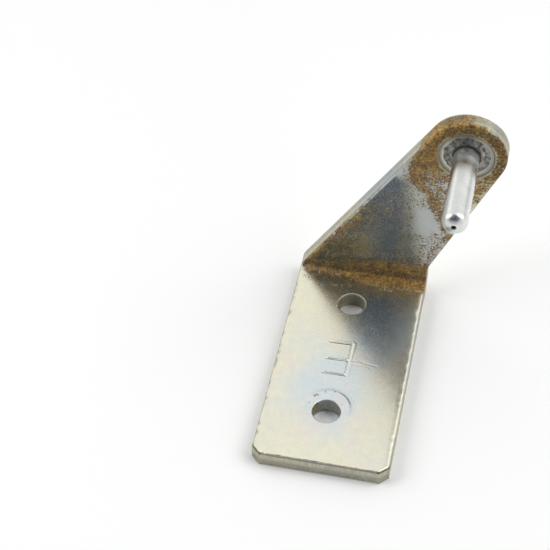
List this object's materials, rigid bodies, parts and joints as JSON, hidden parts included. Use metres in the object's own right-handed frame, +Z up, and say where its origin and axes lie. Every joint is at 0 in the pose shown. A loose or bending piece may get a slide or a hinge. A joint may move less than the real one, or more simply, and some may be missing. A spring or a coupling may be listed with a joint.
{
  "type": "dryer door hinge",
  "caption": "Right-hand door hinge bracket: thick folded steel plate with screw holes in the base and a slanted arm that carries a riveted round pin for the door's bush.",
  "frame": {"origin": "Midway between the two screw holes, on the underside of the base.", "axes": "+Z is up out of the base, the way the screws come out. -Y is the way the pin points and the door's bush comes off. +X is the side the arm leans to."},
  "size_m": [0.0479, 0.0644, 0.0576],
  "materials": {
    "zinc_plated_steel": "zinc plated and passivated mild steel plate, pale yellow-grey, rusted along the bend and round the pin",
    "turned_steel": "turned and polished steel, worn bright by the door's bush"
  },
  "bodies": {
    "root": {"bracket": "zinc_plated_steel", "hinge_pin": "turned_steel"}
  },
  "joints": []
}
